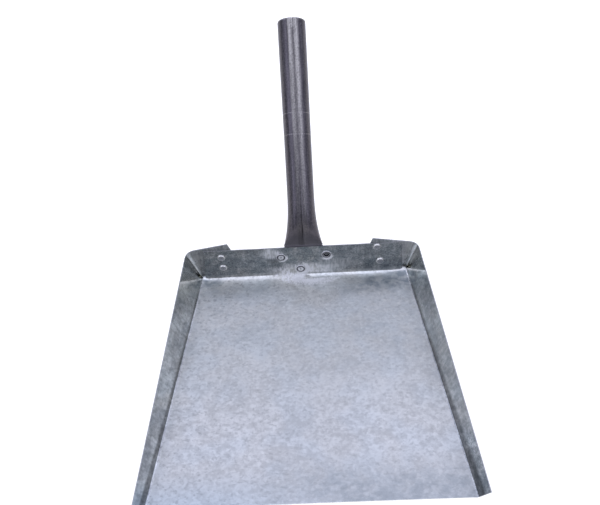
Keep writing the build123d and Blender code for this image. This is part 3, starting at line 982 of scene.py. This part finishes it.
edge_dark = (0.11, 0.105, 0.10)
edge_pale = (0.27, 0.26, 0.245)
steel_edge, tree, edge = shader("sheared_steel_edge")
edge_marks = noise_pattern(tree, surface_place(tree), 2200)
feed(tree, edge, base_color=colour_mix(tree, edge_marks, edge_dark, edge_pale), roughness=0.42, metallic=1.0)

# Stations round the tube, and along it with more of them at the neck, the rings and the rolled end
handle_columns = spaced((-1, -0.8, 22), (-0.8, -tongue_edge, 16), (-tongue_edge, tongue_edge, 30),
                        (tongue_edge, 0.93, 20), (0.93, 1, 12))
first_ring, second_ring = clamp_marks
length_stations = spaced((0, 48, 40), (48, first_ring - 1, 24), (first_ring - 1, first_ring + 1, 8),
                         (first_ring + 1, second_ring - 1, 8), (second_ring - 1, second_ring + 1, 8),
                         (second_ring + 1, tube_length - end_roll, 34),
                         (tube_length - end_roll, tube_length, 8))
tube_grid = np.array([handle_row(a) for a in length_stations])
on_tongue = [column / tongue_edge for column in handle_columns if abs(column) <= tongue_edge + 1e-9]
tongue_grid = np.array([tongue_column(column) for column in on_tongue])


def strip_places(around, along):
    """Places on the flat strip, before it was curled: round the tube, along it."""
    return np.stack([around * mm, along * mm, np.zeros_like(around)], axis=-1)


tube_marks = strip_places(*np.meshgrid(handle_columns * pi * tube_radius, length_stations))
tongue_steps = np.linspace(0, -back_height, tongue_grid.shape[1])
tongue_marks = strip_places(*np.meshgrid(np.array(on_tongue) * flat_straight, tongue_steps, indexing="ij"))
handle_mesh = sheet_mesh("handle_sheet", [tube_grid[:, ::-1], tongue_grid[::-1]], "strip_place",
                         [tube_marks[:, ::-1], tongue_marks[::-1]])
handle = sheet_object("rolled_handle", handle_mesh, tube_wall, [rolled_steel, steel_edge])
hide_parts("handle")
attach(handle, "root")


# Rivets
# Blind rivets of aluminium: a domed head in the pan, a shank through the sheets and a swollen blind end
# behind. The steel mandrel that set each one is broken off inside it and shows as a dull dot in the head.
handle_rivet = {"grip": sheet + tube_wall, "shank": 4.8, "head": 9.5, "crown": 9.5, "dome": 0.8,
                "fullness": 2.6, "mandrel": 2.7, "tail": 4.2, "swell": 7.0}
corner_rivet = {"grip": 2 * sheet + layer_gap, "shank": 4.0, "head": 8.0, "crown": 6.9, "dome": 1.3,
                "fullness": 7.0, "mandrel": 2.2, "tail": 3.6, "swell": 5.8}
head_edge = 0.15
tail_lip = 0.3
eye_lip_drop = 0.1
throat_share = 0.7
mandrel_clearance = 0.03
mandrel_head_length = 1.4
mandrel_cheek = (0.75, 0.62)
mandrel_chamfer = (0.15, 0.2)
head_brim_round = 0.1
eye_round = 0.15
eye_lip_round = (0.04, 0.03)
rivet_segments, mandrel_segments = 40, 24
rivet_dent, mandrel_dent = 0.10, 0.16
dent_size = 260.0
turned_sharp = radians(40)
seed_step = 1.7
belly_points, crown_points, cheek_points = 10, 22, 8
# The eye in each head and how deep the broken mandrel sits below it: one of the handle's stands open
closed_eye = {"eye": 1.1, "recess": 0.45}
open_eye = {"eye": 5.2, "recess": 0.70}
corner_eye = {"eye": 0.8, "recess": 0.25}
# A mandrel's rough broken end: shares of its radius, and the drop there
broken_end = ((0.66, 0.12), (0.3, 0.04), (0, 0))


def turning_tree():
    """Geometry nodes that turn a profile line round its axis, dent it a little and set it in its place."""
    tree = bpy.data.node_groups.new("turned_piece", "GeometryNodeTree")
    sockets = (("Profile", "Geometry"), ("Segments", "Int"), ("Dent", "Float"), ("Dent Size", "Float"),
               ("Seed", "Float"), ("Place", "Vector"), ("Turn", "Vector"), ("Material", "Material"))
    for name, kind in sockets:
        tree.interface.new_socket(name, in_out="INPUT", socket_type="NodeSocket" + kind)
    tree.interface.new_socket("Piece", in_out="OUTPUT", socket_type="NodeSocketGeometry")
    entry = node(tree, "NodeGroupInput").outputs

    def step(made, shape, **values):
        """The shape that leaves a node, from the shape that enters it and its other inputs."""
        return feed(tree, made, geometry=shape, **values).outputs["Geometry"]

    # A grid with one row for each point of the profile, and one column for each step round the axis
    size = node(tree, "GeometryNodeAttributeDomainSize", component="MESH")
    rows = feed(tree, size, geometry=entry["Profile"]).outputs["Point Count"]
    columns = node(tree, "FunctionNodeIntegerMath", operation="ADD")
    tree.links.new(entry["Segments"], columns.inputs[0])
    columns.inputs[1].default_value = 1
    grid = feed(tree, node(tree, "GeometryNodeMeshGrid"), vertices_x=columns.outputs[0], vertices_y=rows)
    position = node(tree, "GeometryNodeInputPosition").outputs["Position"]
    grid_x, grid_y, _ = split(tree, position)
    around = times(tree, plus(tree, grid_x, 0.5), 2 * pi)
    row = combine(tree, "ROUND", times(tree, plus(tree, grid_y, 0.5), combine(tree, "SUBTRACT", rows, 1)))
    profile = node(tree, "GeometryNodeSampleIndex", data_type="FLOAT_VECTOR", domain="POINT")
    point = feed(tree, profile, geometry=entry["Profile"], value=position, index=row).outputs["Value"]
    radius, _, height = split(tree, point)
    turned_x = times(tree, radius, combine(tree, "COSINE", around))
    turned_y = times(tree, radius, combine(tree, "SINE", around))
    turned = feed(tree, node(tree, "ShaderNodeCombineXYZ"), x=turned_x, y=turned_y, z=height)
    marking = node(tree, "GeometryNodeStoreNamedAttribute", data_type="FLOAT_VECTOR", domain="POINT")
    shape = step(marking, grid.outputs["Mesh"], name="profile_place", value=point)
    shape = step(node(tree, "GeometryNodeSetPosition"), shape, position=turned.outputs["Vector"])
    shape = step(node(tree, "GeometryNodeMergeByDistance"), shape, distance=weld_distance)

    # Knocks from setting the rivet, different on each
    knocks = node(tree, "ShaderNodeTexNoise", noise_dimensions="4D")
    feed(tree, knocks, scale=entry["Dent Size"], w=entry["Seed"], detail=1.0)
    push = times(tree, combine(tree, "SUBTRACT", knocks.outputs["Fac"], 0.5), entry["Dent"])
    normal = node(tree, "GeometryNodeInputNormal").outputs["Normal"]
    offset = feed(tree, node(tree, "ShaderNodeVectorMath", operation="SCALE"), vector=normal, scale=push)
    shape = step(node(tree, "GeometryNodeSetPosition"), shape, offset=offset.outputs["Vector"])
    facing = feed(tree, node(tree, "FunctionNodeEulerToRotation"), euler=entry["Turn"])
    shape = step(node(tree, "GeometryNodeTransform"), shape, translation=entry["Place"],
                 rotation=facing.outputs["Rotation"])
    shape = step(node(tree, "GeometryNodeRealizeInstances"), shape)
    shape = step(node(tree, "GeometryNodeSetMaterial"), shape, material=entry["Material"])
    feed(tree, node(tree, "NodeGroupOutput"), piece=shape)
    return tree


def turned_piece(name, profile, segments, dent, seed, place, material):
    """A turned piece on the back wall, made by the tree from its profile of (radius, height into the pan)."""
    line = bpy.data.meshes.new(name + "_profile")
    steps = [(i, i + 1) for i in range(len(profile) - 1)]
    line.from_pydata([(r * mm, 0, h * mm) for r, h in profile], steps, [])
    raw = linked_object(name + "_profile", line)
    modifier = raw.modifiers.new("turning", "NODES")
    modifier.node_group = turning
    x, h = place
    seat = (wall_foot + wall_up * h + np.array([x, 0, 0])) * mm
    values = {"Segments": segments, "Dent": dent * mm, "Dent Size": dent_size, "Seed": seed,
              "Place": tuple(seat), "Turn": (pi / 2 - back_lean, 0.0, 0.0), "Material": material}
    for socket in turning.interface.items_tree:
        if socket.in_out == "INPUT" and socket.name in values:
            modifier[socket.identifier] = values[socket.name]
    return settled(raw, name, turned_sharp)


def arc_points(start, through, end, count):
    """Points of the circle through three points, after the first and up to the last."""
    (ax, ay), (bx, by), (cx, cy) = start, through, end
    d = 2 * (ax * (by - cy) + bx * (cy - ay) + cx * (ay - by))
    a2, b2, c2 = ax * ax + ay * ay, bx * bx + by * by, cx * cx + cy * cy
    middle = np.array([(a2 * (by - cy) + b2 * (cy - ay) + c2 * (ay - by)) / d,
                       (a2 * (cx - bx) + b2 * (ax - cx) + c2 * (bx - ax)) / d])
    radius = np.hypot(*(np.array(start) - middle))
    angles = np.unwrap([np.arctan2(*(np.array(p) - middle)[::-1]) for p in (start, through, end)])
    turns = np.linspace(angles[0], angles[2], count + 1)[1:]
    return [tuple(middle + radius * np.array([cos(t), sin(t)])) for t in turns]


def dome_height(radius, size):
    """Height of a rivet's head at a radius: a crown, squarer where it is fuller, inside a thin brim."""
    share = min(2 * radius / size["crown"], 1) ** size["fullness"]
    return head_edge + (size["dome"] - head_edge) * (1 - share) ** (1 / size["fullness"])


def rivet_profile(size, eye):
    """Section of a set rivet: down its bore, out round the blind end, along the shank and over the head."""
    bore = size["mandrel"] / 2 + mandrel_clearance
    head, shank = size["head"] / 2, size["shank"] / 2
    grip, end = -size["grip"], -size["grip"] - size["tail"]
    eye_radius = eye["eye"] / 2
    crown = dome_height(eye_radius, size)
    eye_lip = (eye_radius, crown - eye_lip_drop)
    points = [eye_lip, (bore, crown - eye["recess"] * throat_share), (bore, end), (shank, end)]
    belly = (size["swell"] / 2, grip - size["tail"] / 2)
    points += arc_points((shank, end), belly, (shank + tail_lip, grip), belly_points)
    points += [(shank, grip), (shank, 0), (head - head_brim_round, 0)]
    for angle in np.linspace(pi / 2, np.arcsin((eye_radius + eye_round) / head), crown_points):
        points.append((head * sin(angle), dome_height(head * sin(angle), size)))
    points += [(eye_radius + eye_lip_round[0], crown - eye_lip_round[1]), eye_lip]
    return points


def mandrel_profile(size, eye):
    """Section of a mandrel: its round head behind the rivet, its stem, and its rough end in the eye."""
    radius, shank = size["mandrel"] / 2, size["shank"] / 2
    top = dome_height(eye["eye"] / 2, size) - eye["recess"]
    end = -size["grip"] - size["tail"]
    tip = (0, end - mandrel_head_length)
    cheek = (shank * mandrel_cheek[0], end - mandrel_head_length * mandrel_cheek[1])
    points = [tip] + arc_points(tip, cheek, (shank, end), cheek_points)
    points += [(radius, end), (radius, top - mandrel_chamfer[1]), (radius - mandrel_chamfer[0], top)]
    points += [(radius * share, top - drop) for share, drop in broken_end]
    return points


def head_place(tree, scuffs, raggedness):
    """Distance from a rivet's axis and height above the wall, and that distance made ragged by the scuffs."""
    from_axis, _, above_wall = split(tree, kept_mark(tree, "profile_place"))
    ragged = plus(tree, from_axis, times(tree, combine(tree, "SUBTRACT", scuffs, 0.5), raggedness * mm))
    return from_axis, above_wall, ragged


# Aluminium of the corner rivets: only pressed. A band at the rolled edge of the crown is painted bright for
# its glint, and the middle and the brim are painted darker as shade
pressed_pale = (0.95, 0.93, 0.85)
pressed_grey = (0.77, 0.755, 0.70)
pressed_shade = (0.50, 0.50, 0.505)
aluminium, tree, metal = shader("rivet_aluminium")
scuffs = noise_pattern(tree, surface_place(tree), 900, 3.0, 0.6)
body = colour_mix(tree, spread(tree, scuffs, 0.35, 0.7), pressed_pale, pressed_grey)
_, _, ragged = head_place(tree, scuffs, 1.0)
# Painted glint band at the edge of the crown; inside and outside it the head is painted darker as shade
glint_band = times(tree, spread(tree, ragged, 2.6 * mm, 3.0 * mm),
              spread(tree, ragged, 3.3 * mm, 3.7 * mm, 1, 0.6))
feed(tree, metal, base_color=colour_mix(tree, glint_band, pressed_shade, body),
     roughness=spread(tree, scuffs, 0.3, 0.7, 0.08, 0.16), metallic=1.0)
bump(tree, metal, scuffs, 0.02, 0.15)

# Aluminium of the handle's rivets: beaten down dull, with a ring of painted shade near the head's edge and
# painted shade down in the eye
beaten_pale = (0.88, 0.88, 0.86)
beaten_grey = (0.60, 0.60, 0.59)
ring_shade = (0.045, 0.045, 0.048)
eye_shade = (0.012, 0.012, 0.016)
beaten_aluminium, tree, metal = shader("beaten_aluminium")
scuffs = noise_pattern(tree, surface_place(tree), 900, 3.0, 0.6)
body = colour_mix(tree, spread(tree, scuffs, 0.35, 0.7), beaten_pale, beaten_grey)
from_axis, above_wall, ragged = head_place(tree, scuffs, 1.2)
# A ring of painted shade near the edge of the head
ring = times(tree, spread(tree, ragged, 2.5 * mm, 3.3 * mm), spread(tree, ragged, 3.7 * mm, 4.5 * mm, 1, 0))
body = colour_mix(tree, times(tree, ring, 0.95), body, ring_shade)
# Painted shade down in the eye, so that it looks like a dark hole
shaded_eye = times(tree, spread(tree, above_wall, 0.60 * mm, 0.72 * mm, 1, 0),
                 spread(tree, from_axis, 2.7 * mm, 3.0 * mm, 1, 0))
feed(tree, metal, base_color=colour_mix(tree, shaded_eye, body, eye_shade),
     roughness=spread(tree, scuffs, 0.3, 0.7, 0.42, 0.58), metallic=1.0)
bump(tree, metal, scuffs, 0.05, 0.5)

# Broken steel of the mandrels, dull and granular, painted nearly black as the shade in the eye
grain_dark = (0.012, 0.012, 0.012)
grain_pale = (0.06, 0.058, 0.056)
mandrel_steel, tree, broken = shader("mandrel_steel")
grains = noise_pattern(tree, surface_place(tree), 2600, 2.0, 0.6)
feed(tree, broken, base_color=colour_mix(tree, grains, grain_dark, grain_pale),
     roughness=spread(tree, grains, 0.3, 0.7, 0.38, 0.6), metallic=1.0)
bump(tree, broken, grains, 0.06, 0.7)

turning = turning_tree()
rivet_groups = (("handle", handle_rivet, handle_rivet_places, beaten_aluminium),
                ("corner", corner_rivet, corner_rivet_places, aluminium))
seed = 0.0
for kind, size, places, finish in rivet_groups:
    for where, place in places.items():
        seed += seed_step
        eye = corner_eye if kind == "corner" else open_eye if where == "right" else closed_eye
        rivet = turned_piece(f"{kind}_rivet_body_{where}", rivet_profile(size, eye), rivet_segments,
                             rivet_dent, seed, place, finish)
        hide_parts(f"{kind}_rivet_{where}")
        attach(rivet, "root")
        stub = turned_piece(f"{kind}_mandrel_stub_{where}", mandrel_profile(size, eye), mandrel_segments,
                            mandrel_dent, seed + 0.5, place, mandrel_steel)
        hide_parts(f"{kind}_mandrel_{where}")
        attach(stub, "root")


# Camera and light, as the photograph has them
# The camera looks down into the pan from in front. Elevation, roll and yaw were fitted to the pan's edges.
# The light is a pale bluish sky with soft bright and dim patches, as white walls, lamps and dark things make.
camera_place = (13.16, -234.62, 491.07)
look_down = radians(52.884)
roll = radians(-4.790)
yaw = radians(-2.484)
forward = Vector((sin(yaw) * cos(look_down), cos(yaw) * cos(look_down), -sin(look_down)))
level = Vector((cos(yaw), -sin(yaw), 0))
upright = level.cross(forward)
across = level * cos(roll) + upright * sin(roll)
upward = upright * cos(roll) - level * sin(roll)
camera = linked_object("camera", bpy.data.cameras.new("camera"))
camera.data.sensor_fit = "HORIZONTAL"
camera.data.sensor_width = 36.0
camera.data.lens = 36.0
camera.data.clip_start = 0.01
turn = Matrix((across, upward, -forward)).transposed().to_4x4()
camera.matrix_world = Matrix.Translation(Vector(camera_place) * mm) @ turn
bpy.context.scene.camera = camera

# Patches of the sky: direction, the cosines from it at which the patch ends and is full, and strength
sky_patches = (
    ((0, -0.12, 0.99), 0.92, 0.99, 0.85),
    ((0, -0.78, 0.63), 0.80, 0.97, -0.24),
    ((-0.72, 0.30, 0.62), 0.80, 0.97, 0.20),
    ((0.72, 0.30, 0.62), 0.80, 0.97, 0.20),
    ((-0.80, -0.17, 0.56), 0.96, 0.99, 1.25),
    ((-0.97, 0.11, 0.19), 0.93, 0.985, -0.30),
    ((0.70, -0.38, 0.60), 0.94, 0.985, 0.9),
    ((-0.70, -0.42, 0.58), 0.94, 0.985, 0.65),
)
sky_tint = (0.92, 0.965, 1.25, 1)
sky_level_low, sky_level_high = 0.54, 0.82
sky_rise = 0.4
world = bpy.data.worlds.new("studio")
bpy.context.scene.world = world
world.use_nodes = True
sky = world.node_tree
direction = node(sky, "ShaderNodeTexCoord").outputs["Generated"]
_, _, height = split(sky, direction)
light = spread(sky, height, 0.0, sky_rise, sky_level_low, sky_level_high)
for aim, edge_cosine, full_cosine, strength in sky_patches:
    facing = node(sky, "ShaderNodeVectorMath", operation="DOT_PRODUCT")
    facing.inputs[1].default_value = Vector(aim).normalized()
    sky.links.new(direction, facing.inputs[0])
    light = plus(sky, light, spread(sky, facing.outputs["Value"], edge_cosine, full_cosine, 0, strength))
feed(sky, sky.nodes["Background"], color=sky_tint, strength=light)

# Studio floor
# White paper under the pan, lit from below for the camera and for what mirrors it, so that it stays white
# behind the pan without more light on the metal.
half_paper = 15.0
paper_z = -0.0003
paper_glow = 0.55
paper_white = (0.88, 0.86, 0.78, 1)
corners = [(x * half_paper, y * half_paper, paper_z) for x, y in ((-1, -1), (1, -1), (1, 1), (-1, 1))]
floor_mesh = bpy.data.meshes.new("studio_floor")
floor_mesh.from_pydata(corners, [], [(0, 1, 2, 3)])
studio_floor = linked_object("studio_floor", floor_mesh)
paper, tree, paper_shader = shader("white_paper")
feed(tree, paper_shader, base_color=paper_white, roughness=0.9)
glow = feed(tree, node(tree, "ShaderNodeEmission"), strength=paper_glow)
both = node(tree, "ShaderNodeAddShader")
tree.links.new(paper_shader.outputs["BSDF"], both.inputs[0])
tree.links.new(glow.outputs["Emission"], both.inputs[1])
path = node(tree, "ShaderNodeLightPath").outputs
seen = plus(tree, plus(tree, path["Is Camera Ray"], path["Is Glossy Ray"]), path["Is Transmission Ray"])
seen.node.use_clamp = True
pick = node(tree, "ShaderNodeMixShader")
tree.links.new(seen, pick.inputs[0])
tree.links.new(paper_shader.outputs["BSDF"], pick.inputs[1])
tree.links.new(both.outputs["Shader"], pick.inputs[2])
feed(tree, tree.nodes["Material Output"], surface=pick.outputs["Shader"])
floor_mesh.materials.append(paper)

bpy.context.scene.view_settings.view_transform = "Standard"
